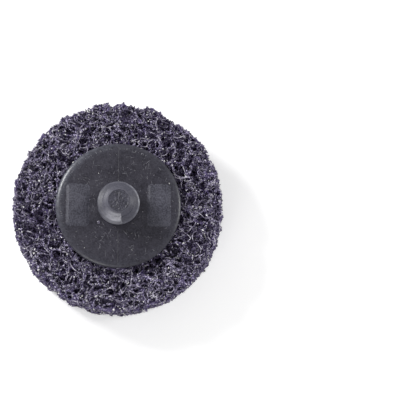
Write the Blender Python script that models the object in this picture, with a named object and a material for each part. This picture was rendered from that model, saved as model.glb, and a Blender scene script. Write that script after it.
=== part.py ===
"""Quick-change strip and surface conditioning disc.

An open web of coated fibres, with a moulded drive button bonded to its upper face. The button is
one piece: a round plate and a stud with a coarse right-hand thread, which a holder screws over.
The frame's origin is the centre of the working face, and +Z is the drive axis, towards the stud.
"""

import math
import random

import bmesh
import bpy
from mathutils import Vector

MM = 0.001

# The web
WEB_DIAMETER = 50.8 * MM
WEB_THICKNESS = 12.7 * MM
PORES_AROUND = 38
PORE_DEPTH = 2.7 * MM
PORE_DEPTH_VARIATION = 0.35
PORE_FLOOR_SHARE = 0.58
STRAND_WIDTH = 0.8 * MM
SURFACE_RAGGEDNESS = 0.6 * MM
PORE_SCATTER = 0.3
RIM_SCATTER = 0.08
WEB_SEED = 11

# Shares of the pore spacing, of the web's thickness or of a pore, which keep the pores well formed
RIM_SNAP_SHARE = 0.3
SEAT_MARGIN_SHARE = 0.25
NARROWEST_MOUTH_SHARE = 0.45
FULL_DEPTH_SHARE = 0.5
DEEPEST_SHARE = 0.4
ON_SKIN_SHARE = 0.375

# The drive button
PLATE_DIAMETER = 30.0 * MM
PLATE_THICKNESS = 1.7 * MM
PLATE_EDGE_RADIUS = 0.8 * MM
PLATE_BACK_CHAMFER = 0.25 * MM
GLUE_LINE = 0.3 * MM
STUD_HEIGHT = 7.6 * MM
STUD_ROOT_FILLET = 0.5 * MM
THREAD_DIAMETER = 10.0 * MM
THREAD_CORE_DIAMETER = 7.4 * MM
THREAD_PITCH = 3.0 * MM
THREAD_TURNS = 1.35
THREAD_CREST_WIDTH = 0.7 * MM
THREAD_ROOT_WIDTH = 2.3 * MM
STUD_TIP_DIAMETER = 5.0 * MM
STUD_TIP_CONE_HEIGHT = 1.0 * MM
THREAD_START_DEG = -90.0
THREAD_RUN_OUT_DEG = 40.0
THREAD_FACE_DEG = 6.0

# The blank marking pads on the plate, one each side of the stud
PAD_OFFSET = 9.7 * MM
PAD_WIDTH = 5.6 * MM
PAD_LENGTH = 10.2 * MM
PAD_HEIGHT = 0.2 * MM
PAD_CORNER_RADIUS = 0.9 * MM

# How finely the button's round surfaces are divided
BUTTON_SEGMENTS = 60
THREAD_RINGS = 13
EDGE_STEPS = 3
PAD_CORNER_STEPS = 4

# Derived sizes
WEB_RADIUS = WEB_DIAMETER / 2
PLATE_RADIUS = PLATE_DIAMETER / 2
THREAD_RADIUS = THREAD_DIAMETER / 2
CORE_RADIUS = THREAD_CORE_DIAMETER / 2
TIP_RADIUS = STUD_TIP_DIAMETER / 2
PLATE_BACK_Z = WEB_THICKNESS + GLUE_LINE
PLATE_TOP_Z = PLATE_BACK_Z + PLATE_THICKNESS
STUD_TOP_Z = PLATE_TOP_Z + STUD_HEIGHT
CONE_FOOT_Z = STUD_TOP_Z - STUD_TIP_CONE_HEIGHT
STUD_ROOT_Z = PLATE_TOP_Z + STUD_ROOT_FILLET
FACE_AREA = math.pi * WEB_RADIUS**2
WALL_AREA = 2 * math.pi * WEB_RADIUS * WEB_THICKNESS
WEB_AREA = 2 * FACE_AREA + WALL_AREA
PORE_SPACING = 2 * math.pi * WEB_RADIUS / PORES_AROUND
WALL_ROWS = max(1, round(WEB_THICKNESS / PORE_SPACING))
FIELD_RADIUS = WEB_RADIUS - PORE_SPACING
FIELD_PORES = round(math.pi * FIELD_RADIUS**2 / PORE_SPACING**2)
GOLDEN_ANGLE = math.pi * (3 - math.sqrt(5))
PAD_OVERLAP = 0.4 * PLATE_THICKNESS


def clear_scene():
    for thing in list(bpy.data.objects):
        bpy.data.objects.remove(thing, do_unlink=True)


def make_material(name, colour, roughness, metallic=0.0):
    material = bpy.data.materials.new(name)
    material.use_nodes = True
    shader = material.node_tree.nodes["Principled BSDF"]
    shader.inputs["Base Color"].default_value = (*colour, 1.0)
    shader.inputs["Roughness"].default_value = roughness
    shader.inputs["Metallic"].default_value = metallic
    return material


def make_object(name, bm, material):
    """The bmesh as a named object in the scene, with its material."""
    mesh = bpy.data.meshes.new(name)
    bm.to_mesh(mesh)
    bm.free()
    thing = bpy.data.objects.new(name, mesh)
    bpy.context.scene.collection.objects.link(thing)
    thing.data.materials.append(material)
    return thing


def face_point(radius, angle, height):
    return Vector((radius * math.cos(angle), radius * math.sin(angle), height))


def pore_places(rng):
    """Where each pore sits on the web's skin: rows on the wall, and a ring and a spiral field on each face."""

    def scattered(amount):
        return rng.uniform(-amount, amount) * PORE_SPACING

    pitch_angle = 2 * math.pi / PORES_AROUND
    places = []
    for row in range(WALL_ROWS):
        for index in range(PORES_AROUND):
            angle = (index + row / 2) * pitch_angle + scattered(PORE_SCATTER) / WEB_RADIUS
            height = WEB_THICKNESS * (row + 0.5) / WALL_ROWS + scattered(RIM_SCATTER)
            places.append(face_point(WEB_RADIUS, angle, height))
    for height in (0.0, WEB_THICKNESS):
        for index in range(PORES_AROUND):
            angle = (index + 0.5) * pitch_angle + scattered(PORE_SCATTER) / WEB_RADIUS
            radius = WEB_RADIUS - PORE_SPACING / 2 + scattered(RIM_SCATTER)
            places.append(face_point(radius, angle, height))
        for index in range(FIELD_PORES):
            spiral = FIELD_RADIUS * math.sqrt((index + 0.5) / FIELD_PORES)
            place = face_point(spiral, index * GOLDEN_ANGLE, height)
            place += Vector((scattered(PORE_SCATTER), scattered(PORE_SCATTER), 0.0))
            places.append(place)
    return places


def sphere_point(point):
    """The web's skin on a unit sphere, by an equal-area map."""
    radius = point.xy.length
    rise = point.z / WEB_THICKNESS
    if rise > 0.999:
        area = math.pi * radius**2
    elif rise > 0.001:
        area = FACE_AREA + WALL_AREA * (1 - rise)
    else:
        area = WEB_AREA - math.pi * radius**2
    height = 1 - 2 * area / WEB_AREA
    ring = math.sqrt(max(1 - height * height, 0.0)) / max(radius, 1e-9)
    return Vector((point.x * ring, point.y * ring, height))


def to_skin(point):
    """Moves a point out to the web's nearest skin, and onto the rim where it is close to one."""
    radius = point.xy.length
    lower = point.z < WEB_THICKNESS / 2
    wall_gap = WEB_RADIUS - radius
    face_gap = point.z if lower else WEB_THICKNESS - point.z
    near_rim = RIM_SNAP_SHARE * PORE_SPACING
    out = point.copy()
    if wall_gap < face_gap or max(wall_gap, face_gap) < near_rim:
        out.x *= WEB_RADIUS / radius
        out.y *= WEB_RADIUS / radius
    if wall_gap >= face_gap or max(wall_gap, face_gap) < near_rim:
        out.z = 0.0 if lower else WEB_THICKNESS
    return out


def inward(point):
    """Unit direction from a point on the skin to the web's mid-line ring or disc."""
    ring_radius = WEB_RADIUS - WEB_THICKNESS / 2
    radius = point.xy.length
    share = min(1.0, ring_radius / radius) if radius > 0 else 1.0
    target = Vector((point.x * share, point.y * share, WEB_THICKNESS / 2))
    return (target - point).normalized()


def faces_around(vertex):
    """The faces round a vertex of a closed mesh, in order."""
    first = vertex.link_loops[0]
    loop, faces = first, []
    while True:
        faces.append(loop.face)
        loop = loop.link_loop_prev.link_loop_radial_next
        if loop == first:
            return faces


def cell_corners(places):
    """The web's skin as cells, one for each place: (corner points, cells as lists of corner indices)."""
    bm = bmesh.new()
    for place in places:
        bm.verts.new(sphere_point(place))
    bmesh.ops.convex_hull(bm, input=bm.verts)
    bmesh.ops.recalc_face_normals(bm, faces=bm.faces)
    bm.verts.index_update()
    bm.faces.index_update()
    corners = [None] * len(bm.faces)
    for face in bm.faces:
        middle = sum((places[v.index] for v in face.verts), Vector()) / 3
        corners[face.index] = to_skin(middle)
    bm.verts.ensure_lookup_table()
    cells = [[face.index for face in faces_around(vertex)] for vertex in bm.verts]
    bm.free()
    return corners, cells


def on_seat(point, radius):
    """Whether a point is on the flat seat of that radius, under the plate."""
    return point.z > WEB_THICKNESS / 2 and point.xy.length < radius


def roughened(corners, centre_cell, rng):
    """The corners, pulled in from the skin by uneven amounts, apart from the flat seat and the centre land."""
    kept = set(centre_cell)
    moved = []
    for index, corner in enumerate(corners):
        pull = SURFACE_RAGGEDNESS * max(0.0, rng.random() - ON_SKIN_SHARE) / (1 - ON_SKIN_SHARE)
        if index in kept or on_seat(corner, PLATE_RADIUS):
            pull = 0.0
        moved.append(corner + inward(corner) * pull)
    return moved


def sink_pore(bm, cell, rng):
    """Turns one cell of the skin into a pore: a land round its edge, sloping walls and a smaller floor."""
    centre = cell.calc_center_median()
    corner_distance = sum((v.co - centre).length for v in cell.verts) / len(cell.verts)
    mouth_share = max(NARROWEST_MOUTH_SHARE, 1 - STRAND_WIDTH / (2 * corner_distance))
    depth = PORE_DEPTH * rng.uniform(1 - PORE_DEPTH_VARIATION, 1.0)
    depth *= min(1.0, corner_distance / (FULL_DEPTH_SHARE * PORE_SPACING))
    depth = min(depth, DEEPEST_SHARE * WEB_THICKNESS)
    for share, drop in ((mouth_share, 0.0), (PORE_FLOOR_SHARE, depth)):
        bmesh.ops.inset_individual(bm, faces=[cell], thickness=0.0)
        middle = cell.calc_center_median()
        for vertex in cell.verts:
            vertex.co = middle + (vertex.co - middle) * share
        for vertex in cell.verts:
            vertex.co += inward(vertex.co) * drop


def build_web(material):
    rng = random.Random(WEB_SEED)
    places = pore_places(rng)
    corners, cells = cell_corners(places)
    centre_index = min(range(len(places)), key=lambda index: places[index].length)
    corners = roughened(corners, cells[centre_index], rng)
    bm = bmesh.new()
    vertices = [bm.verts.new(corner) for corner in corners]
    pores = []
    whole_radius = PLATE_RADIUS - SEAT_MARGIN_SHARE * PORE_SPACING
    for index, cell in enumerate(cells):
        face = bm.faces.new([vertices[corner] for corner in cell])
        if index != centre_index and not on_seat(places[index], whole_radius):
            pores.append(face)
    bmesh.ops.recalc_face_normals(bm, faces=bm.faces)
    for face in pores:
        sink_pore(bm, face, rng)
    return make_object("abrasive_web", bm, material)


def thread_radius(angle, height):
    """The stud's radius at an angle and a height above the plate, with the thread's ridge on its core."""
    turns_down = ((THREAD_START_DEG - math.degrees(angle)) % 360.0) / 360.0
    highest = STUD_HEIGHT - STUD_TIP_CONE_HEIGHT - THREAD_ROOT_WIDTH / 2
    flank_width = (THREAD_ROOT_WIDTH - THREAD_CREST_WIDTH) / 2
    ridge = 0.0
    turn = turns_down
    while turn < THREAD_TURNS:
        offset = abs(height - (highest - THREAD_PITCH * turn))
        shape = min(1.0, max(0.0, (THREAD_ROOT_WIDTH / 2 - offset) / flank_width))
        start = min(1.0, turn * 360.0 / THREAD_FACE_DEG)
        run_out = min(1.0, (THREAD_TURNS - turn) * 360.0 / THREAD_RUN_OUT_DEG)
        ridge = max(ridge, shape * start * run_out)
        turn += 1.0
    return CORE_RADIUS + (THREAD_RADIUS - CORE_RADIUS) * ridge


def button_profile():
    """The button's half section, from the plate's back on the axis round to the stud's tip on the axis."""
    points = [
        (0.0, PLATE_BACK_Z),
        (PLATE_RADIUS - PLATE_BACK_CHAMFER, PLATE_BACK_Z),
        (PLATE_RADIUS, PLATE_BACK_Z + PLATE_BACK_CHAMFER),
    ]
    for step in range(EDGE_STEPS + 1):
        angle = math.pi / 2 * step / EDGE_STEPS
        radius = PLATE_RADIUS - PLATE_EDGE_RADIUS * (1 - math.cos(angle))
        points.append((radius, PLATE_TOP_Z - PLATE_EDGE_RADIUS * (1 - math.sin(angle))))
    points.append((CORE_RADIUS + STUD_ROOT_FILLET, PLATE_TOP_Z))
    fillet = STUD_ROOT_FILLET * (1 - math.sqrt(0.5))
    points.append((CORE_RADIUS + fillet, PLATE_TOP_Z + fillet))
    for step in range(THREAD_RINGS + 1):
        height = STUD_ROOT_Z + (CONE_FOOT_Z - STUD_ROOT_Z) * step / THREAD_RINGS
        points.append((CORE_RADIUS, height))
    points.append((TIP_RADIUS, STUD_TOP_Z))
    points.append((0.0, STUD_TOP_Z))
    return points


def spin_profile(points, segments):
    """A closed turned body from a half section that starts and ends on the Z axis."""
    bm = bmesh.new()
    vertices = [bm.verts.new((radius, 0.0, height)) for radius, height in points]
    for first, second in zip(vertices, vertices[1:]):
        bm.edges.new((first, second))
    bmesh.ops.spin(
        bm,
        geom=list(bm.verts) + list(bm.edges),
        cent=(0, 0, 0),
        axis=(0, 0, 1),
        angle=2 * math.pi,
        steps=segments,
        use_merge=True,
    )
    bmesh.ops.remove_doubles(bm, verts=bm.verts, dist=1e-6)
    bmesh.ops.recalc_face_normals(bm, faces=bm.faces)
    return bm


def cut_thread(bm):
    """Raises the thread's ridge on the stud's side."""
    slack = 1e-6
    for vertex in bm.verts:
        if not STUD_ROOT_Z - slack < vertex.co.z < CONE_FOOT_Z - slack:
            continue
        angle = math.atan2(vertex.co.y, vertex.co.x)
        radius = thread_radius(angle, vertex.co.z - PLATE_TOP_Z)
        scale = radius / vertex.co.xy.length
        vertex.co.x *= scale
        vertex.co.y *= scale


def pad_outline(side):
    """The corners-rounded rectangle of a marking pad, side being -1 or 1."""
    outline = []
    for quarter, (sx, sy) in enumerate(((1, 1), (-1, 1), (-1, -1), (1, -1))):
        centre_x = side * PAD_OFFSET + sx * (PAD_WIDTH / 2 - PAD_CORNER_RADIUS)
        centre_y = sy * (PAD_LENGTH / 2 - PAD_CORNER_RADIUS)
        for step in range(PAD_CORNER_STEPS + 1):
            angle = math.pi / 2 * (quarter + step / PAD_CORNER_STEPS)
            x = centre_x + PAD_CORNER_RADIUS * math.cos(angle)
            y = centre_y + PAD_CORNER_RADIUS * math.sin(angle)
            outline.append((x, y))
    return outline


def build_pad(side, material):
    """A blank marking pad, which starts inside the plate so that the two join."""
    bm = bmesh.new()
    foot = PLATE_TOP_Z - PAD_OVERLAP
    face = bm.faces.new([bm.verts.new((x, y, foot)) for x, y in pad_outline(side)])
    grown = bmesh.ops.extrude_face_region(bm, geom=[face])
    risen = [item for item in grown["geom"] if isinstance(item, bmesh.types.BMVert)]
    bmesh.ops.translate(bm, verts=risen, vec=(0, 0, PAD_OVERLAP + PAD_HEIGHT))
    bmesh.ops.recalc_face_normals(bm, faces=bm.faces)
    pad = make_object("pad_left" if side < 0 else "pad_right", bm, material)
    pad.hide_render = True
    pad.display_type = "WIRE"
    return pad


def build_button(material):
    bm = spin_profile(button_profile(), BUTTON_SEGMENTS)
    cut_thread(bm)
    button = make_object("drive_button", bm, material)
    for side in (-1, 1):
        union = button.modifiers.new("marking_pad", "BOOLEAN")
        union.operation = "UNION"
        union.solver = "EXACT"
        union.object = build_pad(side, material)
    return button


def shade_round(thing, sharp_deg):
    thing.data.shade_smooth()
    thing.data.set_sharp_from_angle(angle=math.radians(sharp_deg))


def main():
    clear_scene()
    web_finish = make_material("coated_fibre", (0.072, 0.062, 0.095), 0.62)
    button_finish = make_material("moulded_nylon", (0.054, 0.053, 0.064), 0.42)
    build_web(web_finish)
    button = build_button(button_finish)
    shade_round(button, 35)


main()
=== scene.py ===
"""Studio scene of a quick-change strip and surface conditioning disc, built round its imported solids.

The open web is modelled strand by strand: crinkled fibres wander through the slab, are pushed aside
by the pores and are cut off at the disc's wall. The strands near the outside are fused where they
cross and carry grains. The drive button is turned and threaded, and has two blank marking pads.
"""

import math

import bmesh
import bpy
import numpy as np
from mathutils import Matrix, Vector, kdtree, noise


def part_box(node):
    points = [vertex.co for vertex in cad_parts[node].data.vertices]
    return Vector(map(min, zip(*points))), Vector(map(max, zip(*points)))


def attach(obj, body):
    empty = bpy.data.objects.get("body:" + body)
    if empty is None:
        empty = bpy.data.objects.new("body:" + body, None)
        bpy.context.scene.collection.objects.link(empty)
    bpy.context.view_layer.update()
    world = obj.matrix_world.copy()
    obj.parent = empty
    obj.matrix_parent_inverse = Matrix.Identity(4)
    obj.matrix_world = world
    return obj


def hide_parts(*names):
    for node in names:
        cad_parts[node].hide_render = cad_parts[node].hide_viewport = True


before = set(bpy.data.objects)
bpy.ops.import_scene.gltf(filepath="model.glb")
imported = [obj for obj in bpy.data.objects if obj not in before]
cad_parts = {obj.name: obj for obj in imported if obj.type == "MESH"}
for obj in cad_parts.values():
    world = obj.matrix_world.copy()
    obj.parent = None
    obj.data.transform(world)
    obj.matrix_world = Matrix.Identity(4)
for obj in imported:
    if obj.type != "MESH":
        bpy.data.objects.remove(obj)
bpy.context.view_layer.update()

# Sizes are in millimetres, and MM turns them into metres when a mesh is made
MM = 0.001

# The solids' sizes, from the frame
WEB_LOW, WEB_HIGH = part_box("abrasive_web")
BUTTON_LOW, BUTTON_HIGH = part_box("drive_button")
WEB_RADIUS = (WEB_HIGH.y - WEB_LOW.y) / 2 / MM
WEB_THICKNESS = (WEB_HIGH.z - WEB_LOW.z) / MM
PLATE_RADIUS = (BUTTON_HIGH.y - BUTTON_LOW.y) / 2 / MM
PLATE_BACK_Z = BUTTON_LOW.z / MM
STUD_TOP_Z = BUTTON_HIGH.z / MM

# The strands of the web: how they curl, lie flat and turn back under a skin
WEB_SEED = 11
STRAND_RADIUS = 0.2
STRAND_LENGTH = 20.0
STRAND_STEP = 0.4
STRAND_FILL = 0.25
CURL = 0.7
CURL_TWIST = 0.9
LIE_FLAT = 0.5
FLATTENING = 0.12
SKIN_MARGIN = 0.1
SKIN_REACH = 0.6
SKIN_TURN = 0.25
FLOOR_CLEARANCE = 0.02

# Their thickness, which differs by strand, by region and in a wave along each
STRAND_SIZES = (0.8, 1.25)
THICKNESS_REGION = 2.4
THICKNESS_SPREAD = 0.45
THICKNESS_WAVE = 0.18
WAVE_PACES = (0.5, 1.2)

# The wall, onto which the die pressed the ends of the strands
WALL_PRESS = 0.5
WALL_RAGGEDNESS = 0.5
# It is a little wavy: how many waves go round, with the phase of each
WALL_WAVES = ((5, 0.4), (9, 2.1), (16, 4.0), (29, 1.2), (43, 5.3))
WALL_WAVE_HEIGHT = 0.45
WALL_WAVE_LEAN = 0.25
# Clumps of strands stand out of it, taller than they are wide
WALL_BAND = 2.0
WALL_CLUMP_SIZE = 1.3
WALL_CLUMP_SHAPE = (1, 1, 0.3)
WALL_CLUMP_MARGIN = 0.02
WALL_CLUMP_HEIGHT = 1.2

# The pores that the strands leave open: how many, and their smallest and largest radius
PORES = ((2400, 0.4, 0.9), (330, 1.2, 2.4))
PORE_PUSH = 0.85
# The pits are pores that break through the top or low skin: their number, depths and radii
PIT_COUNT = 170
PIT_DEPTHS = (0.7, 1.5)
PIT_RADII = (1.2, 2.2)
PIT_RIM = 2.6

# The fused shell, the plainer strands inside it and the thin bare fibres
PLATE_COVER = 2.0
SHELL_DEPTH = 3.2
SHELL_VOXEL = 0.2
SHELL_TRIANGLES = {"top": 170000, "wall": 120000, "low": 110000}
LUMP_SIZE = 0.22
LUMP_HEIGHT = 0.42
INNER_SHARE = 2
INNER_STEP = 3
INNER_RADIUS = 1.4 * STRAND_RADIUS
HAIR_RADIUS = 0.075
HAIR_STEP = 0.6
HAIR_COUNT = 3200
HAIR_DEPTH = 0.7

# The grains on the strands
GRAIN_SIZE = 0.12
GRAIN_COUNTS = {"top": 22000, "wall": 12000, "low": 9000}
GRAIN_CLUSTER_SIZE = 1.6
GRAIN_CLUSTERING = 2.2
GRAIN_REACH = 1.4
GRAIN_SPREAD = 0.4
GRAIN_SINK = 0.4
GRAIN_SHAPES = (0.55, 1.3)

# The drive button, as the part has it
PLATE_TOP_Z = 14.7
PLATE_EDGE_RADIUS = 0.8
PLATE_EDGE_WIDTH = 1.5
PLATE_BACK_CHAMFER = 0.25
STUD_ROOT_FILLET = 0.5
THREAD_RADIUS = 5.0
CORE_RADIUS = 3.7
THREAD_PITCH = 3.0
THREAD_TURNS = 1.35
THREAD_CREST_WIDTH = 0.7
THREAD_ROOT_WIDTH = 2.3
TIP_RADIUS = 2.65
TIP_CONE_HEIGHT = 1.0
TIP_EDGE_RADIUS = 0.2
TIP_RINGS = 7
TIP_RING_DEPTH = 0.1
TIP_STIPPLE = 0.22
TIP_STIPPLE_SIZE = 0.42
TIP_SUNK = 0.7
THREAD_START_DEG = -80.0
THREAD_RUN_OUT_DEG = 40.0
THREAD_FACE_DEG = 3.0
THREAD_WHITE_DEG = 75.0
PAD_OFFSET = 9.7
PAD_WIDTH = 5.6
PAD_LENGTH = 10.2
PAD_HEIGHT = 0.2
PAD_CORNER_RADIUS = 0.9
PAD_SLOPE = 0.75
PAD_STEPS = ((0.4, 0.25), (0.35, 0.5), (0.25, 0.25))
BUTTON_SEGMENTS = 240
BUTTON_SHARP_DEG = 50
THREAD_RINGS = 48

# What handling left on the plate
WEAR_SEED = 5
RIM_WEAR = 0.14
WORN_RADIUS = 14.0
SCRATCH_RADIUS = 0.038
SCRATCH_STEP = 0.25
SCRATCH_WANDER = 0.12
SCRATCHES = 130
SCRATCH_LENGTHS = (0.5, 2.0)
ANY_HEADING = (0, 6.3)
SCUFFS = 26
SCUFF_TURNS = (15, 80)
SCUFF_LENGTHS = (0.6, 1.8)
CURLED_SCRATCHES = 16
CURLED_TURNS = (228, 262)
CURLED_LENGTHS = (0.7, 2.2)
CURLED_BENDS = (-0.6, 0.6)
NICKS = 90
NICK_TURNS = (60, 200)
NICK_LENGTHS = (0.3, 0.9)
NICK_REACH = 13.2
SCRATCH_LIMIT = 14.2
PARTING_RADIUS = 0.06
PARTING_OFFSET = -0.05
PARTING_SINK = 0.02
PARTING_POINTS = 24
STRAY_GRAINS = 110
STRAY_GRAIN_SIZE = 0.05
CRUMB_GRAINS = 14
CRUMB_PLACE = (-4.6, -4.2, PLATE_TOP_Z)


def unit(vectors):
    return vectors / np.maximum(np.linalg.norm(vectors, axis=-1, keepdims=True), 1e-9)


def add_object(name, mesh):
    thing = bpy.data.objects.new(name, mesh)
    bpy.context.scene.collection.objects.link(thing)
    return thing


def apply_modifiers(thing):
    """Makes what the object's modifiers give its own mesh."""
    graph = bpy.context.evaluated_depsgraph_get()
    mesh = bpy.data.meshes.new_from_object(thing.evaluated_get(graph))
    thing.modifiers.clear()
    thing.data = mesh
    return thing


def wander(rng, count, pace):
    """Curling strands through a slab a little wider than the disc, as strands by points by 3."""
    reach = WEB_RADIUS + STRAND_LENGTH / 4
    radius = reach * np.sqrt(rng.random(count))
    turn = rng.uniform(0, 2 * np.pi, count)
    low = STRAND_RADIUS + SKIN_MARGIN
    high = WEB_THICKNESS - low
    rise = rng.uniform(low, high, count)
    place = np.stack([radius * np.cos(turn), radius * np.sin(turn), rise], axis=1)
    heading = unit(rng.normal(0, 1, (count, 3)) * (1, 1, 1 - LIE_FLAT))
    side = unit(np.cross(heading, rng.normal(0, 1, (count, 3))))
    twist = rng.normal(0, CURL_TWIST, count)
    curl = CURL * rng.uniform(0.5, 1.5, count)
    paths = np.empty((count, int(STRAND_LENGTH / pace), 3))
    for step in range(paths.shape[1]):
        paths[:, step] = place
        angle = ((twist + rng.normal(0, CURL_TWIST, count)) * pace)[:, None]
        side = side * np.cos(angle) + np.cross(heading, side) * np.sin(angle)
        heading = heading + side * (curl * pace)[:, None]
        heading[:, 2] *= 1 - FLATTENING * LIE_FLAT
        heading[:, 2] += SKIN_TURN * (place[:, 2] < low + SKIN_REACH)
        heading[:, 2] -= SKIN_TURN * (place[:, 2] > high - SKIN_REACH)
        heading = unit(heading)
        side = unit(side - heading * np.sum(side * heading, axis=1, keepdims=True))
        place = place + heading * pace
        place[:, 2] = np.clip(place[:, 2], low, high)
    return paths


def push_aside(points, centres, sizes):
    """Pushes points out of balls, most of the way to their surface."""
    tree = kdtree.KDTree(len(points))
    for index, point in enumerate(points):
        tree.insert(point, index)
    tree.balance()
    for centre, size in zip(centres, sizes):
        for point, index, distance in tree.find_range(centre, size):
            away = (np.array(point) - centre) / max(distance, 1e-6)
            points[index] += away * (size - distance) * PORE_PUSH


def open_pores(rng, paths):
    """Pushes the strands aside, out of pores strewn through the slab and out of pits in its skins."""
    points = paths.reshape(-1, 3)
    reach = WEB_RADIUS + STRAND_LENGTH / 4
    for count, smallest, largest in PORES:
        centres = rng.uniform((-reach, -reach, 0), (reach, reach, WEB_THICKNESS), (count, 3))
        push_aside(points, centres, rng.uniform(smallest, largest, count))
    spots = (WEB_RADIUS - PIT_RIM) * np.sqrt(rng.random(PIT_COUNT))
    turns = rng.uniform(0, 2 * np.pi, PIT_COUNT)
    heights = rng.uniform(*PIT_DEPTHS, PIT_COUNT)
    heights[::2] = WEB_THICKNESS - heights[::2]
    centres = np.stack([spots * np.cos(turns), spots * np.sin(turns), heights], axis=1)
    push_aside(points, centres, rng.uniform(*PIT_RADII, PIT_COUNT))
    margin = STRAND_RADIUS + SKIN_MARGIN
    points[:, 2] = np.clip(points[:, 2], margin, WEB_THICKNESS - margin)
    return points.reshape(paths.shape)


def press_wall(rng, paths):
    """Presses strands just outside the wall back onto it, as the die that cuts the disc does."""
    radius = np.linalg.norm(paths[..., :2], axis=-1)
    turn = np.arctan2(paths[..., 1], paths[..., 0])
    lean = WALL_WAVE_LEAN * paths[..., 2]
    waves = sum(np.sin(count * turn + lean + phase) for count, phase in WALL_WAVES)
    edge = WEB_RADIUS - STRAND_RADIUS - SKIN_MARGIN - WALL_RAGGEDNESS * rng.random(radius.shape) ** 2
    edge -= WALL_WAVE_HEIGHT * np.clip(waves / len(WALL_WAVES), 0, 1)
    near = abs(radius - WEB_RADIUS) < WALL_BAND
    clumps = [noise.noise(point) for point in paths[near] * WALL_CLUMP_SHAPE / WALL_CLUMP_SIZE]
    clumped = edge[near] + WALL_CLUMP_HEIGHT * np.array(clumps)
    edge[near] = np.minimum(clumped, WEB_RADIUS - WALL_CLUMP_MARGIN)
    pressed = (radius > edge) & (radius < WEB_RADIUS + WALL_PRESS)
    share = np.where(pressed, edge / np.maximum(radius, 1e-6), 1.0)
    paths[..., 0] *= share
    paths[..., 1] *= share
    return paths


def skin_depths(points):
    """How deep points lie under the web's top, wall and low skins. The plate hides the top under it."""
    radius = np.linalg.norm(points[..., :2], axis=-1)
    top = np.where(radius < PLATE_RADIUS - PLATE_COVER, np.inf, WEB_THICKNESS - points[..., 2])
    return {"top": top, "wall": WEB_RADIUS - radius, "low": points[..., 2]}


def in_zone(zone, points, depth):
    """Which points are in a zone of the web: one of its skins to a depth, or the inside below it."""
    depths = skin_depths(points)
    least = np.minimum.reduce(list(depths.values()))
    if zone == "inside":
        return (depths["wall"] > 0) & (least > depth - STRAND_STEP)
    return (depths["wall"] > 0) & (least < depth) & (depths[zone] < least + STRAND_STEP)


def stretches(rng, paths, zone, depth, radius):
    """The stretches of strands inside a zone, each with its own thickness, as (points, radii) pairs."""
    pieces = []
    for path, inside in zip(paths, in_zone(zone, paths, depth)):
        thickness = radius * rng.uniform(*STRAND_SIZES)
        turns = np.flatnonzero(np.diff(np.concatenate([[0], inside.astype(int), [0]])))
        for start, end in zip(turns[::2], turns[1::2]):
            if end - start > 2:
                wave = np.sin(np.arange(end - start) * rng.uniform(*WAVE_PACES) + rng.uniform(0, 6))
                region = np.array([noise.noise(point) for point in path[start:end] / THICKNESS_REGION])
                swelling = 1 + THICKNESS_WAVE * wave + THICKNESS_SPREAD * region
                pieces.append((path[start:end], thickness * swelling))
    return pieces


def tubes(name, pieces, roundness):
    """One mesh of round tubes with closed ends along the pieces."""
    curve = bpy.data.curves.new(name, "CURVE")
    curve.dimensions = "3D"
    curve.bevel_depth = MM
    curve.bevel_resolution = roundness
    curve.use_fill_caps = True
    for points, radii in pieces:
        spline = curve.splines.new("POLY")
        spline.points.add(len(points) - 1)
        spline.points.foreach_set("co", np.hstack([points * MM, np.ones((len(points), 1))]).ravel())
        spline.points.foreach_set("radius", radii)
    holder = add_object(name + "_line", curve)
    graph = bpy.context.evaluated_depsgraph_get()
    mesh = bpy.data.meshes.new_from_object(holder.evaluated_get(graph))
    bpy.data.objects.remove(holder)
    return add_object(name, mesh)


def fuse(thing, lumps, triangles):
    """Fuses the strands where they cross, thins the mesh and makes its coat lumpy."""
    remesh = thing.modifiers.new("fuse", "REMESH")
    remesh.mode = "VOXEL"
    remesh.voxel_size = SHELL_VOXEL * MM
    apply_modifiers(thing)
    thin = thing.modifiers.new("thin", "DECIMATE")
    thin.ratio = min(1.0, triangles / (2 * len(thing.data.polygons)))
    coat = thing.modifiers.new("coat", "DISPLACE")
    coat.texture = lumps
    coat.texture_coords = "LOCAL"
    coat.mid_level = 0.5
    coat.strength = LUMP_HEIGHT * MM
    apply_modifiers(thing)
    for vertex in thing.data.vertices:
        vertex.co.z = max(vertex.co.z, FLOOR_CLEARANCE * MM)
    return thing


def grain_shape():
    """One grain before it is made uneven: eight facets."""
    bm = bmesh.new()
    bmesh.ops.create_uvsphere(bm, u_segments=4, v_segments=2, radius=1.0)
    corners = np.array([vertex.co for vertex in bm.verts])
    facets = np.array([[vertex.index for vertex in face.verts] for face in bm.faces])
    bm.free()
    return corners, facets


def random_turns(rng, count):
    """Random turns as 3 by 3 matrices."""
    first = unit(rng.normal(0, 1, (count, 3)))
    second = unit(np.cross(first, rng.normal(0, 1, (count, 3))))
    return np.stack([first, second, np.cross(first, second)], axis=1)


def add_grains(rng, name, places, normals, sizes, tones):
    """Sharp grains, half sunk into what carries them. Each has a tone, which its material reads."""
    count = len(places)
    corners, facets = grain_shape()
    sizes = sizes[:, None, None]
    shapes = corners * sizes * rng.uniform(*GRAIN_SHAPES, (count, len(corners), 1))
    shapes = np.einsum("gij,gkj->gki", random_turns(rng, count), shapes)
    shapes += (places + normals * GRAIN_SINK * sizes[:, 0])[:, None, :]
    shapes[..., 2] = np.maximum(shapes[..., 2], FLOOR_CLEARANCE)
    mesh = bpy.data.meshes.new(name)
    faces = (facets[None] + len(corners) * np.arange(count)[:, None, None]).reshape(-1, 3)
    mesh.from_pydata((shapes.reshape(-1, 3) * MM).tolist(), [], faces.tolist())
    tone = mesh.attributes.new("tone", "FLOAT", "POINT")
    tone.data.foreach_set("value", np.repeat(tones, len(corners)).astype(np.float32))
    return add_object(name, mesh)


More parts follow.
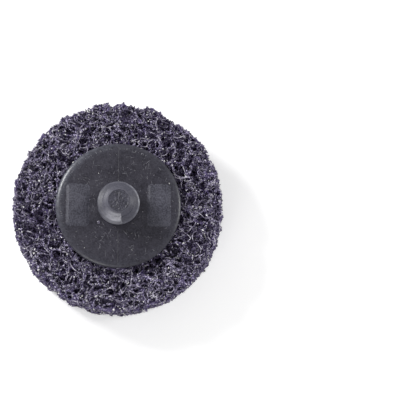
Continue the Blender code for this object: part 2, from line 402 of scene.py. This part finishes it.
def scatter_grains(rng, name, carrier, zone, count):
    """Grains on the strands of a zone, most of them near its skin."""
    mesh = carrier.data
    places = np.empty(len(mesh.vertices) * 3)
    normals = np.empty(len(mesh.vertices) * 3)
    mesh.vertices.foreach_get("co", places)
    mesh.vertices.foreach_get("normal", normals)
    places = places.reshape(-1, 3) / MM
    normals = normals.reshape(-1, 3)
    outward = {"top": normals[:, 2], "low": -normals[:, 2]}
    outward["wall"] = np.sum(unit(places * (1, 1, 0)) * normals, axis=1)
    depth = skin_depths(places)[zone]
    cluster = np.array([noise.noise(place) for place in places / GRAIN_CLUSTER_SIZE])
    open_to_sight = np.clip(outward[zone] + 0.6, 0.05, 1.0)
    chance = np.exp(GRAIN_CLUSTERING * cluster - depth / GRAIN_REACH) * open_to_sight
    chosen = rng.choice(len(places), count, replace=False, p=chance / chance.sum())
    sizes = GRAIN_SIZE * rng.lognormal(0, GRAIN_SPREAD, count)
    return add_grains(rng, name, places[chosen], normals[chosen], sizes, rng.random(count))


def build_web():
    rng = np.random.default_rng(WEB_SEED)
    reach = WEB_RADIUS + STRAND_LENGTH / 4
    count = int(STRAND_FILL * (reach**2 * WEB_THICKNESS) / (STRAND_RADIUS**2 * STRAND_LENGTH))
    paths = press_wall(rng, open_pores(rng, wander(rng, count, STRAND_STEP)))
    hairs = press_wall(rng, open_pores(rng, wander(rng, HAIR_COUNT, HAIR_STEP)))
    lumps = bpy.data.textures.new("coat_lumps", "CLOUDS")
    lumps.noise_scale = LUMP_SIZE * MM
    strands, grains, bare = [], [], []
    for zone, grain_count in GRAIN_COUNTS.items():
        skin = tubes(zone + "_strands", stretches(rng, paths, zone, SHELL_DEPTH, STRAND_RADIUS), 1)
        strands.append(fuse(skin, lumps, SHELL_TRIANGLES[zone]))
        grains.append(scatter_grains(rng, zone + "_grains", skin, zone, grain_count))
        bare.append(tubes(zone + "_fibres", stretches(rng, hairs, zone, HAIR_DEPTH, HAIR_RADIUS), 0))
    inside = stretches(rng, paths[::INNER_SHARE], "inside", SHELL_DEPTH, INNER_RADIUS)
    inside = [(points[::INNER_STEP], radii[::INNER_STEP]) for points, radii in inside]
    strands.append(tubes("inner_strands", [piece for piece in inside if len(piece[0]) > 2], 0))
    return strands, grains, bare


def arc(centre, radius, first, last, steps):
    """Points (distance from the axis, height) of the section along an arc, by angles in degrees."""
    angles = np.radians(np.linspace(first, last, steps + 1))
    across, up = centre
    return [(across + radius * math.cos(angle), up + radius * math.sin(angle)) for angle in angles]


def button_section():
    """The button's half section, from the middle of its back round to the middle of the stud's tip."""
    cone_foot = STUD_TOP_Z - TIP_CONE_HEIGHT
    section = [(0.0, PLATE_BACK_Z), (PLATE_RADIUS - PLATE_BACK_CHAMFER, PLATE_BACK_Z)]
    section.append((PLATE_RADIUS, PLATE_BACK_Z + PLATE_BACK_CHAMFER))
    widening = PLATE_EDGE_WIDTH / PLATE_EDGE_RADIUS
    for reach, height in arc((0.0, PLATE_TOP_Z - PLATE_EDGE_RADIUS), PLATE_EDGE_RADIUS, 0, 90, 10):
        section.append((PLATE_RADIUS - PLATE_EDGE_WIDTH + reach * widening, height))
    root = (CORE_RADIUS + STUD_ROOT_FILLET, PLATE_TOP_Z + STUD_ROOT_FILLET)
    section += arc(root, STUD_ROOT_FILLET, 270, 180, 5)
    side = np.linspace(root[1], cone_foot, THREAD_RINGS + 1)[1:]
    section += [(CORE_RADIUS, height) for height in side]
    lip = (TIP_RADIUS - TIP_EDGE_RADIUS, STUD_TOP_Z - TIP_EDGE_RADIUS)
    for step in range(1, TIP_RINGS):
        share = step / TIP_RINGS
        height = cone_foot + (lip[1] - cone_foot) * share - TIP_RING_DEPTH * (step % 2)
        section.append((CORE_RADIUS + (TIP_RADIUS - CORE_RADIUS) * share, height))
    section += arc(lip, TIP_EDGE_RADIUS, 40, 90, 4)
    section += [(lip[0] * (1 - step / 12), STUD_TOP_Z) for step in range(1, 13)]
    return section


def held(share):
    return min(1.0, max(0.0, share))


def thread_radius(angle, height):
    """The stud's radius at an angle and a height above the plate, with the thread's ridge on its core."""
    turns_down = ((THREAD_START_DEG - math.degrees(angle)) % 360.0) / 360.0
    highest = STUD_TOP_Z - PLATE_TOP_Z - TIP_CONE_HEIGHT - THREAD_ROOT_WIDTH / 2
    flank_width = (THREAD_ROOT_WIDTH - THREAD_CREST_WIDTH) / 2
    ridge = 0.0
    turn = turns_down
    while turn < THREAD_TURNS:
        offset = abs(height - (highest - THREAD_PITCH * turn))
        shape = held((THREAD_ROOT_WIDTH / 2 - offset) / flank_width)
        shape *= shape * (3 - 2 * shape)
        start = held(turn * 360.0 / THREAD_FACE_DEG)
        run_out = held((THREAD_TURNS - turn) * 360.0 / THREAD_RUN_OUT_DEG)
        ridge = max(ridge, shape * start * run_out)
        turn += 1.0
    return CORE_RADIUS + (THREAD_RADIUS - CORE_RADIUS) * ridge


def shape_stud(bm):
    """Raises the thread's ridge on the stud's side and stipples its tip."""
    for vertex in bm.verts:
        height = vertex.co.z - PLATE_TOP_Z
        reach = vertex.co.xy.length
        if abs(reach - CORE_RADIUS) < 0.01 and height > STUD_ROOT_FILLET:
            grown = thread_radius(math.atan2(vertex.co.y, vertex.co.x), height) / reach
            vertex.co.x *= grown
            vertex.co.y *= grown
        elif vertex.co.z > STUD_TOP_Z - 0.01 and reach < TIP_RADIUS - 2 * TIP_EDGE_RADIUS:
            rough = noise.noise(vertex.co / TIP_STIPPLE_SIZE) - TIP_SUNK
            vertex.co.z += TIP_STIPPLE * rough * held((TIP_RADIUS - reach) / (3 * TIP_EDGE_RADIUS))


def button_region(middle):
    """Which of its materials a face has: 0 on the plate, 1 on the stud, 3 on its tip."""
    if middle.z > STUD_TOP_Z - 1.5 * TIP_STIPPLE and middle.xy.length < TIP_RADIUS:
        return 3
    return int(middle.z > PLATE_TOP_Z + 0.05)


def add_pad(bm, side):
    """A blank marking pad with soft slopes, side being -1 or 1. It starts inside the plate."""
    foot = PLATE_TOP_Z - PAD_HEIGHT
    made = bmesh.ops.create_cube(bm, size=1.0)["verts"]
    bmesh.ops.scale(bm, verts=made, vec=(PAD_WIDTH, PAD_LENGTH, PAD_HEIGHT))
    bmesh.ops.translate(bm, verts=made, vec=(side * PAD_OFFSET, 0, foot + PAD_HEIGHT / 2))
    edges = {edge for vertex in made for edge in vertex.link_edges}
    upright = [edge for edge in edges if edge.verts[0].co.xy == edge.verts[1].co.xy]
    rounded = bmesh.ops.bevel(
        bm,
        geom=upright,
        offset=PAD_CORNER_RADIUS,
        affect="EDGES",
        segments=8,
        profile=0.5,
        material=-1,
    )
    faces = {face for vertex in rounded["verts"] for face in vertex.link_faces}
    upper = [face for face in faces if face.normal.z > 0.9]
    for thickness, rise in PAD_STEPS:
        bmesh.ops.inset_region(bm, faces=upper, thickness=thickness * PAD_SLOPE, use_even_offset=True)
        corners = {vertex for face in upper for vertex in face.verts}
        bmesh.ops.translate(bm, verts=list(corners), vec=(0, 0, rise * PAD_HEIGHT))


def build_button():
    bm = bmesh.new()
    points = [bm.verts.new((reach, 0.0, height)) for reach, height in button_section()]
    for first, second in zip(points, points[1:]):
        bm.edges.new((first, second))
    bmesh.ops.spin(
        bm,
        geom=list(bm.verts) + list(bm.edges),
        cent=(0, 0, 0),
        axis=(0, 0, 1),
        angle=2 * math.pi,
        steps=BUTTON_SEGMENTS,
        use_merge=True,
    )
    bmesh.ops.remove_doubles(bm, verts=bm.verts, dist=0.001)
    shape_stud(bm)
    bmesh.ops.recalc_face_normals(bm, faces=bm.faces)
    for face in bm.faces:
        face.material_index = button_region(face.calc_center_median())
    turned = set(bm.faces)
    for side in (-1, 1):
        add_pad(bm, side)
    for face in bm.faces:
        face.smooth = True
        if face not in turned:
            face.material_index = 2
    bmesh.ops.scale(bm, verts=bm.verts, vec=(MM, MM, MM))
    mesh = bpy.data.meshes.new("button")
    bm.to_mesh(mesh)
    bm.free()
    mesh.set_sharp_from_angle(angle=math.radians(BUTTON_SHARP_DEG))
    return add_object("button", mesh)


def plate_height(reaches):
    """How high the plate's top is at distances from the axis: flat, then rounded down at the rim."""
    over = np.clip((reaches - PLATE_RADIUS) / PLATE_EDGE_WIDTH + 1, 0, 1)
    return PLATE_TOP_Z - PLATE_EDGE_RADIUS * (1 - np.sqrt(1 - over**2))


def on_plate(angles, reaches):
    """Points on the plate's top, from angles in degrees and distances from the axis."""
    turns = np.radians(angles)
    return np.stack([reaches * np.cos(turns), reaches * np.sin(turns), plate_height(reaches)], axis=-1)


def scratch(rng, start, heading, length, bend):
    """A fine line on the plate: a wandering course, with its thickness along it."""
    bends = rng.normal(bend, SCRATCH_WANDER, max(3, int(length / SCRATCH_STEP)))
    turns = heading + np.cumsum(bends * SCRATCH_STEP)
    steps = SCRATCH_STEP * np.stack([np.cos(turns), np.sin(turns), np.zeros(len(turns))], axis=1)
    course = start + np.cumsum(steps, axis=0)
    course[:, 2] = plate_height(np.linalg.norm(course[:, :2], axis=1))
    return course, SCRATCH_RADIUS * rng.uniform(0.6, 1.4) * np.sin(np.linspace(0.3, 2.9, len(course)))


def build_scratches(rng):
    """Scratches from handling: short ones all over, scuffs, curled ones, and nicks at the rim."""
    lines = []
    turns = rng.uniform(0, 360, SCRATCHES)
    reaches = WORN_RADIUS * np.sqrt(rng.uniform(0.15, 0.95, SCRATCHES))
    for start in on_plate(turns, reaches):
        lines.append(scratch(rng, start, rng.uniform(*ANY_HEADING), rng.uniform(*SCRATCH_LENGTHS), 0.0))
    for start in on_plate(rng.uniform(*SCUFF_TURNS, SCUFFS), rng.uniform(6.0, 13.0, SCUFFS)):
        lines.append(scratch(rng, start, rng.normal(0.9, 0.5), rng.uniform(*SCUFF_LENGTHS), 0.0))
    turns = rng.uniform(*CURLED_TURNS, CURLED_SCRATCHES)
    reaches = rng.uniform(6.0, 10.0, CURLED_SCRATCHES)
    for start in on_plate(turns, reaches):
        heading, length = rng.uniform(*ANY_HEADING), rng.uniform(*CURLED_LENGTHS)
        lines.append(scratch(rng, start, heading, length, rng.uniform(*CURLED_BENDS)))
    for angle, length in zip(rng.uniform(*NICK_TURNS, NICKS), rng.uniform(*NICK_LENGTHS, NICKS)):
        start = on_plate([angle], np.array([NICK_REACH]))[0]
        lines.append(scratch(rng, start, math.radians(angle) + rng.normal(0, 0.15), length, 0.0))
    kept = [line for line in lines if np.linalg.norm(line[0][-1][:2]) < SCRATCH_LIMIT]
    return tubes("scratches", kept, 0)


def build_parting_line():
    """The low ridge that the two halves of the mould left across the plate."""
    runs = []
    for side in (-1, 1):
        reach = np.linspace(THREAD_RADIUS + 0.3, PLATE_RADIUS - PLATE_EDGE_RADIUS, PARTING_POINTS)
        across = np.full(PARTING_POINTS, PARTING_OFFSET)
        run = np.stack([across, side * reach, plate_height(reach) - PARTING_SINK], axis=1)
        runs.append((run, np.full(PARTING_POINTS, PARTING_RADIUS)))
    return tubes("parting_line", runs, 1)


def build_stray_grains(rng):
    """Grains and dust from the web that lie on the plate, and one violet crumb beside the stud."""
    crumb = CRUMB_PLACE + rng.normal(0, 0.14, (CRUMB_GRAINS, 3)) * (1, 1, 0)
    turns = rng.uniform(0, 360, STRAY_GRAINS)
    strewn = on_plate(turns, WORN_RADIUS * np.sqrt(rng.uniform(0.14, 1.0, STRAY_GRAINS)))
    places = np.vstack([crumb, strewn])
    upwards = np.tile((0.0, 0.0, 1.0), (len(places), 1))
    sizes = [rng.uniform(0.1, 0.17, CRUMB_GRAINS)]
    sizes.append(STRAY_GRAIN_SIZE * rng.lognormal(0, GRAIN_SPREAD, STRAY_GRAINS))
    tones = [rng.uniform(0.6, 0.9, CRUMB_GRAINS), rng.uniform(0.82, 1.0, STRAY_GRAINS)]
    return add_grains(rng, "stray_grains", places, upwards, np.concatenate(sizes), np.concatenate(tones))


# The colours of the web, those of the ramps by their place on it
BINDER_TONES = (
    (0.43, (0.012, 0.007, 0.025)),
    (0.49, (0.028, 0.018, 0.066)),
    (0.54, (0.073, 0.054, 0.148)),
    (0.58, (0.64, 0.583, 0.785)),
)
BINDER_VIOLET = (0.066, 0.036, 0.170, 1)
# Painted fill light: the colour towards which strands far under a skin are painted
BINDER_PAINTED_FILL = (0.36, 0.29, 0.52, 1)
BARE_TONES = ((0.38, (0.06, 0.045, 0.10)), (0.5, (0.27, 0.24, 0.34)), (0.62, (0.72, 0.69, 0.78)))
# The grains' colours by tone: the near-white top is partly pale grains and partly painted glints
GRAIN_TONES_AND_GLINTS = (
    (0.0, (0.012, 0.009, 0.019)),
    (0.45, (0.045, 0.036, 0.075)),
    (0.76, (0.18, 0.16, 0.24)),
    (0.90, (0.46, 0.44, 0.51)),
    (0.95, (0.95, 0.94, 0.92)),
)

# The nylon's colours, dark and light, and what wear and dust make of them, with painted highlights on the
# rim and the thread's crest, painted shade on the stud's left side, and white at the thread's start
PLATE_COLOURS = ((0.0115, 0.0104, 0.0182), (0.0400, 0.0378, 0.0530))
# Painted light: the stud's colours are lighter than the plate's, though it is the same nylon
STUD_PAINTED_LIGHT_COLOURS = ((0.058, 0.0575, 0.079), (0.094, 0.093, 0.121))
PAD_COLOURS = ((0.0225, 0.022, 0.0335), (0.080, 0.079, 0.1035))
TIP_COLOURS = ((0.018, 0.0175, 0.027), (0.060, 0.059, 0.083))
SCRATCH_COLOURS = ((0.06, 0.059, 0.07), (0.27, 0.268, 0.30))
RIDGE_COLOURS = ((0.030, 0.029, 0.037), (0.090, 0.088, 0.104))
# Painted highlight: the plate's rim is painted pale on the side towards the key lamp, where it is also
# worn smoother
RIM_WEAR_AND_HIGHLIGHT = (0.120, 0.126, 0.158)
# Painted highlight: the thread's crest is painted pale towards the right, where it is also worn smoother
THREAD_WEAR_AND_HIGHLIGHT = (0.34, 0.345, 0.39)
# The thread's start is whiter
WHITENED = (0.34, 0.338, 0.375, 1)
# Painted shade: the stud's left side is painted darker
STUD_PAINTED_SHADE = (0.026, 0.026, 0.036, 1)
DUST = (0.33, 0.33, 0.36, 1)
DUST_STRENGTH = 0.25

# The bands where a colour changes, in metres: from the axis, and under the nearest skin, for the painted
# fill light that lightens the strands far under it
VIOLET_BAND = (0.0238, 0.0254)
DEEP_BAND = (0.0017, 0.0044)
RIM_WEAR_AND_HIGHLIGHT_BAND = (0.0128, 0.0148)
THREAD_WEAR_AND_HIGHLIGHT_BAND = (0.0045, 0.0049)
WHITENED_FROM = (0.0029, 0.0033)
WHITENED_TO = (0.0046, 0.0049)
PAINTED_SHADE_FROM = (0.0035, 0.0042)

# The sides towards which the rim and the thread are worn smooth and painted pale as painted highlights,
# and where the stud is painted darker as painted shade
RIM_WEAR_AND_HIGHLIGHT_SIDE = (-0.84, 0.54, 0)
THREAD_WEAR_AND_HIGHLIGHT_SIDE = (0.97, 0.24, 0)
PAINTED_SHADE_SIDE = (-1, 0, 0)

# The scales of the patterns: the higher, the finer
GRIT_SCALE = 2400
VIOLET_SCALE = 420
COAT_BUMP_SCALE = 4000
BARE_SCALE = 900
BARE_GLOSS_SCALE = 5000
CLOUD_SCALE = 330
MOTTLE_SCALE = 2900
RUBBED_SCALE = 1400
DUST_SCALE = 1300
NYLON_BUMP_SCALE = 3000
PATCH_SCALE = 900
STREAK_SCALE = 1500


def node(tree, kind, inputs=(), **settings):
    """A shader node, with settings on the node and values or links for its inputs."""
    made = tree.nodes.new("ShaderNode" + kind)
    for key, value in settings.items():
        setattr(made, key, value)
    for key, value in dict(inputs).items():
        if isinstance(value, bpy.types.NodeSocket):
            tree.links.new(value, made.inputs[key])
        else:
            made.inputs[key].default_value = value
    return made


def new_material(name):
    """A material, its node tree, its shader and the object coordinates."""
    material = bpy.data.materials.new(name)
    material.use_nodes = True
    tree = material.node_tree
    place = node(tree, "TexCoord").outputs["Object"]
    return material, tree, tree.nodes["Principled BSDF"], place


def ramp(tree, value, stops):
    """Colours by value, from (position, colour) stops."""
    made = node(tree, "ValToRGB", {"Fac": value})
    elements = made.color_ramp.elements
    while len(elements) < len(stops):
        elements.new(0.5)
    for element, (position, colour) in zip(elements, stops):
        element.position = position
        element.color = (*colour, 1)
    return made.outputs["Color"]


def mix(tree, share, first, second):
    made = node(tree, "Mix", data_type="RGBA")
    for index, value in ((0, share), (6, first), (7, second)):
        if isinstance(value, bpy.types.NodeSocket):
            tree.links.new(value, made.inputs[index])
        else:
            made.inputs[index].default_value = value
    return made.outputs[2]


def math_node(tree, operation, first, second=0.0):
    return node(tree, "Math", {0: first, 1: second}, operation=operation).outputs[0]


def spread(tree, value, low, high, to_low, to_high):
    """Maps a value from one range to another, held at the ends."""
    ends = {"Value": value, "From Min": low, "From Max": high, "To Min": to_low, "To Max": to_high}
    return node(tree, "MapRange", ends).outputs[0]


def noise_node(tree, place, scale, detail=3.0, roughness=0.6):
    inputs = {"Vector": place, "Scale": scale, "Detail": detail, "Roughness": roughness}
    return node(tree, "TexNoise", inputs).outputs["Fac"]


def from_axis(tree, place):
    """The distance from the disc's axis."""
    flat = node(tree, "VectorMath", {0: place, 1: (1, 1, 0)}, operation="MULTIPLY")
    return node(tree, "VectorMath", {0: flat.outputs[0]}, operation="LENGTH").outputs["Value"]


def towards(tree, place, reach, side):
    """How squarely a point lies towards a side of the axis: 1 is straight towards it."""
    along = node(tree, "VectorMath", {0: place, 1: side}, operation="DOT_PRODUCT").outputs["Value"]
    return math_node(tree, "DIVIDE", along, reach)


def skin_depth(tree, place):
    """How deep a point of the web lies under its nearest skin."""
    height = node(tree, "SeparateXYZ", {"Vector": place}).outputs["Z"]
    under_top = math_node(tree, "SUBTRACT", WEB_THICKNESS * MM, height)
    under_wall = math_node(tree, "SUBTRACT", WEB_RADIUS * MM, from_axis(tree, place))
    return math_node(tree, "MINIMUM", math_node(tree, "MINIMUM", under_top, height), under_wall)


def raise_surface(tree, shader, height, strength, distance):
    bump = node(tree, "Bump", {"Strength": strength, "Distance": distance, "Height": height})
    tree.links.new(bump.outputs["Normal"], shader.inputs["Normal"])


def fibre_material():
    """Crimped fibres under a dark violet binder, which is thin and light in places. Far under a skin the
    strands are painted lighter, as painted fill light.
    """
    material, tree, shader, place = new_material("coated_fibre")
    grit = noise_node(tree, place, GRIT_SCALE, 3, 0.75)
    hue = spread(tree, noise_node(tree, place, VIOLET_SCALE, 2), 0.48, 0.66, 0.0, 0.5)
    wall = spread(tree, from_axis(tree, place), *VIOLET_BAND, 0.0, 0.6)
    tint = math_node(tree, "MAXIMUM", hue, wall)
    violet = mix(tree, tint, ramp(tree, grit, BINDER_TONES), BINDER_VIOLET)
    # painted fill light: the further a strand lies under its nearest skin, the lighter it is painted
    deep = spread(tree, skin_depth(tree, place), *DEEP_BAND, 0.0, 0.9)
    tree.links.new(mix(tree, deep, violet, BINDER_PAINTED_FILL), shader.inputs["Base Color"])
    raise_surface(tree, shader, noise_node(tree, place, COAT_BUMP_SCALE), 1.0, 0.00022)
    tree.links.new(spread(tree, grit, 0.3, 0.7, 0.25, 0.55), shader.inputs["Roughness"])
    return material


def bare_fibre_material():
    """Fibres that the binder has left nearly bare, pale and glossy."""
    material, tree, shader, place = new_material("bare_fibre")
    colour = ramp(tree, noise_node(tree, place, BARE_SCALE, 3, 0.7), BARE_TONES)
    tree.links.new(colour, shader.inputs["Base Color"])
    gloss = noise_node(tree, place, BARE_GLOSS_SCALE)
    tree.links.new(spread(tree, gloss, 0.3, 0.7, 0.2, 0.45), shader.inputs["Roughness"])
    return material


def grain_material():
    """Abrasive grains. Most are dark with the binder, and a few are clean and pale; the palest, near
    white, are partly painted glints.
    """
    material, tree, shader, place = new_material("grain")
    tone = node(tree, "Attribute", attribute_name="tone").outputs["Fac"]
    tree.links.new(ramp(tree, tone, GRAIN_TONES_AND_GLINTS), shader.inputs["Base Color"])
    shader.inputs["Roughness"].default_value = 0.2
    return material


def nylon_material(name, colours, roughness, worn_and_highlight_band=RIM_WEAR_AND_HIGHLIGHT_BAND, side=RIM_WEAR_AND_HIGHLIGHT_SIDE, pale=RIM_WEAR_AND_HIGHLIGHT):
    """Moulded nylon, clouded and finely grained, with dust in its skin.

    An edge, the band between two distances from the axis, is worn smooth towards one side and painted
    pale there as a painted highlight.
    """
    material, tree, shader, place = new_material(name)
    clouds = noise_node(tree, place, CLOUD_SCALE, 5, 0.65)
    cloudy = spread(tree, clouds, 0.35, 0.65, 0.0, 0.5)
    mottled = spread(tree, noise_node(tree, place, MOTTLE_SCALE, 2, 0.6), 0.4, 0.6, 0.0, 0.75)
    dark, light = colours
    plain = mix(tree, math_node(tree, "ADD", cloudy, mottled), (*dark, 1), (*light, 1))
    reach = from_axis(tree, place)
    at_edge = spread(tree, reach, *worn_and_highlight_band, 0.0, 1.0)
    on_side = spread(tree, towards(tree, place, reach, side), 0.5, 0.95, 0.2, 1.0)
    # worn: where the edge is worn smoother and painted pale, the pale being a painted highlight
    worn = math_node(tree, "MULTIPLY", at_edge, on_side)
    streaky = spread(tree, noise_node(tree, place, RUBBED_SCALE, 2), 0.4, 0.6, 0.25, 0.9)
    colour = mix(tree, math_node(tree, "MULTIPLY", worn, streaky), plain, (*pale, 1))
    cells = node(tree, "TexVoronoi", {"Vector": place, "Scale": DUST_SCALE})
    chance = node(tree, "SeparateColor", {"Color": cells.outputs["Color"]}).outputs[0]
    dusty = spread(tree, chance, 0.8, 0.86, 0.0, 1.0)
    near = spread(tree, cells.outputs["Distance"], 0.08, 0.2, 1.0, 0.0)
    speck = math_node(tree, "MULTIPLY", near, dusty)
    dusted = mix(tree, math_node(tree, "MULTIPLY", speck, DUST_STRENGTH), colour, DUST)
    tree.links.new(dusted, shader.inputs["Base Color"])
    raise_surface(tree, shader, noise_node(tree, place, NYLON_BUMP_SCALE), 0.65, 0.00004)
    uneven = spread(tree, clouds, 0.3, 0.7, roughness - 0.05, roughness + 0.07)
    smoother = math_node(tree, "MULTIPLY", worn, RIM_WEAR)
    tree.links.new(math_node(tree, "SUBTRACT", uneven, smoother), shader.inputs["Roughness"])
    return material


def whiten_and_shade_thread(material):
    """Whitens the thread where it starts, and darkens its left side as painted shade.

    The white ends sharply at the start and fades down the thread.
    """
    tree = material.node_tree
    shader = tree.nodes["Principled BSDF"]
    place = node(tree, "TexCoord").outputs["Object"]
    flat = node(tree, "SeparateXYZ", {"Vector": place})
    turn = math_node(tree, "ARCTAN2", flat.outputs["Y"], flat.outputs["X"])
    start, worn = math.radians(THREAD_START_DEG), math.radians(THREAD_WHITE_DEG)
    fade = spread(tree, turn, start - worn, start - worn / 3, 0.0, 1.0)
    before = math_node(tree, "LESS_THAN", turn, start)
    reach = from_axis(tree, place)
    inner = spread(tree, reach, *WHITENED_FROM, 0.0, 1.0)
    outer = spread(tree, reach, *WHITENED_TO, 1.0, 0.3)
    patchy = spread(tree, noise_node(tree, place, PATCH_SCALE, 3), 0.35, 0.6, 0.55, 1.0)
    share = math_node(tree, "MULTIPLY", fade, before)
    for factor in (inner, outer, patchy):
        share = math_node(tree, "MULTIPLY", share, factor)
    # painted shade: the stud's left side is painted darker
    painted_shade = spread(tree, towards(tree, place, reach, PAINTED_SHADE_SIDE), 0.3, 0.95, 0.0, 0.5)
    painted_shade = math_node(tree, "MULTIPLY", painted_shade, spread(tree, reach, *PAINTED_SHADE_FROM, 0.0, 1.0))
    plain = mix(tree, painted_shade, shader.inputs["Base Color"].links[0].from_socket, STUD_PAINTED_SHADE)
    tree.links.new(mix(tree, share, plain, WHITENED), shader.inputs["Base Color"])
    return material


def streaked_material(name, colours):
    """Nylon whitened by a scratch or at a ridge, in streaks."""
    material, tree, shader, place = new_material(name)
    streaks = noise_node(tree, place, STREAK_SCALE, 2)
    dark, light = colours
    colour = mix(tree, spread(tree, streaks, 0.35, 0.65, 0.0, 1.0), (*dark, 1), (*light, 1))
    tree.links.new(colour, shader.inputs["Base Color"])
    shader.inputs["Roughness"].default_value = 0.5
    return material


# The camera, which looks down on the disc from in front and is turned to the right of it
CAMERA_DISTANCE = 400.0
CAMERA_ELEVATION = 81.4
CAMERA_AZIMUTH = -3.0
PIXELS_PER_MM = 4.10
FRAME_PIXELS = 416
DISC_PIXEL = (118.1, 211.0)
SENSOR = 36.0

# The studio's light. A lamp has a place, a width and a power
LAMPS = {
    "key": ((-285, 190, 240), 130, 1.4),
    "front": ((-150, -310, 190), 200, 0.38),
    "right": ((340, 50, 130), 110, 0.5),
}
WORLD_SIDES = 0.58
WORLD_TOP = 0.32
FLOOR_SIZE = 2.0
FLOOR_WHITE = (0.85, 0.85, 0.85, 1)
FLOOR_GLOW = 0.4
UNDERCUT = 1.5


def camera_turn(backwards):
    """The turn of a camera that looks against a direction, with +Y up in its picture."""
    right = Vector((0, 1, 0)).cross(backwards).normalized()
    return Matrix((right, backwards.cross(right), backwards)).transposed()


def build_camera():
    data = bpy.data.cameras.new("camera")
    data.sensor_width = SENSOR
    data.lens = SENSOR * PIXELS_PER_MM * CAMERA_DISTANCE / FRAME_PIXELS
    data.clip_start = 0.01
    data.clip_end = 10
    camera = add_object("camera", data)
    bpy.context.scene.camera = camera
    azimuth, elevation = math.radians(CAMERA_AZIMUTH), math.radians(CAMERA_ELEVATION)
    back = Vector((math.sin(azimuth), -math.cos(azimuth), math.tan(elevation))).normalized()
    centre = Vector((0, 0, WEB_THICKNESS / 2))
    right = (FRAME_PIXELS / 2 - DISC_PIXEL[0]) / PIXELS_PER_MM
    up = (DISC_PIXEL[1] - FRAME_PIXELS / 2) / PIXELS_PER_MM
    aim = centre + camera_turn(back) @ Vector((right, up, 0))
    eye = centre + back * CAMERA_DISTANCE
    camera.location = eye * MM
    camera.rotation_mode = "QUATERNION"
    camera.rotation_quaternion = camera_turn((eye - aim).normalized()).to_quaternion()


def build_lamp(name, place, width, power):
    data = bpy.data.lights.new(name, "AREA")
    data.shape = "DISK"
    data.size = width * MM
    data.energy = power
    lamp = add_object(name, data)
    lamp.location = Vector(place) * MM
    lamp.rotation_mode = "QUATERNION"
    lamp.rotation_quaternion = Vector(place).to_track_quat("Z", "Y")


def floor_material():
    """A white floor, which keeps its white up to the edge of the picture and takes the disc's shadow.

    It has no glow of its own under the disc, where no light comes.
    """
    material, tree, shader, place = new_material("floor")
    shader.inputs["Base Color"].default_value = FLOOR_WHITE
    shader.inputs["Roughness"].default_value = 0.9
    seen = node(tree, "LightPath").outputs["Is Camera Ray"]
    shader.inputs["Emission Color"].default_value = (1, 1, 1, 1)
    reach = from_axis(tree, place)
    glow = spread(tree, reach, (WEB_RADIUS - UNDERCUT) * MM, WEB_RADIUS * MM, 0.0, FLOOR_GLOW)
    tree.links.new(math_node(tree, "MULTIPLY", seen, glow), shader.inputs["Emission Strength"])
    return material


def build_world():
    """Soft light all round, stronger from the sides than from above."""
    world = bpy.data.worlds.new("studio")
    bpy.context.scene.world = world
    world.use_nodes = True
    tree = world.node_tree
    direction = node(tree, "TexCoord").outputs["Generated"]
    rise = node(tree, "SeparateXYZ", {"Vector": direction}).outputs["Z"]
    strength = spread(tree, rise, 0.15, 0.95, WORLD_SIDES, WORLD_TOP)
    light = tree.nodes["Background"]
    light.inputs["Color"].default_value = (1, 1, 1, 1)
    tree.links.new(strength, light.inputs["Strength"])


def build_studio():
    for name, (place, width, power) in LAMPS.items():
        build_lamp(name, place, width, power)
    build_world()
    bm = bmesh.new()
    bmesh.ops.create_grid(bm, x_segments=1, y_segments=1, size=FLOOR_SIZE)
    mesh = bpy.data.meshes.new("floor")
    bm.to_mesh(mesh)
    bm.free()
    floor = add_object("floor", mesh)
    floor.data.materials.append(floor_material())


def dress(thing, materials):
    for material in materials:
        thing.data.materials.append(material)
    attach(thing, "root")


build_camera()
build_studio()

strands, grains, bare = build_web()
fibre = fibre_material()
grain = grain_material()
bare_fibre = bare_fibre_material()
for thing in strands:
    dress(thing, [fibre])
for thing in grains:
    dress(thing, [grain])
for thing in bare:
    dress(thing, [bare_fibre])
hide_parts("abrasive_web")

button = build_button()
plate_nylon = nylon_material("plate_nylon", PLATE_COLOURS, 0.40)
# The thread's crest is worn smoother and painted pale towards the right, as a painted highlight
stud_edge = {"worn_and_highlight_band": THREAD_WEAR_AND_HIGHLIGHT_BAND, "side": THREAD_WEAR_AND_HIGHLIGHT_SIDE, "pale": THREAD_WEAR_AND_HIGHLIGHT}
stud_nylon = whiten_and_shade_thread(nylon_material("stud_nylon", STUD_PAINTED_LIGHT_COLOURS, 0.47, **stud_edge))
pad_nylon = nylon_material("pad_nylon", PAD_COLOURS, 0.42)
tip_nylon = nylon_material("tip_nylon", TIP_COLOURS, 0.52)
dress(button, [plate_nylon, stud_nylon, pad_nylon, tip_nylon])
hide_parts("drive_button")
rng = np.random.default_rng(WEAR_SEED)
dress(build_scratches(rng), [streaked_material("scratched_nylon", SCRATCH_COLOURS)])
dress(build_parting_line(), [streaked_material("ridge_nylon", RIDGE_COLOURS)])
dress(build_stray_grains(rng), [grain])

bpy.context.scene.view_settings.view_transform = "Standard"
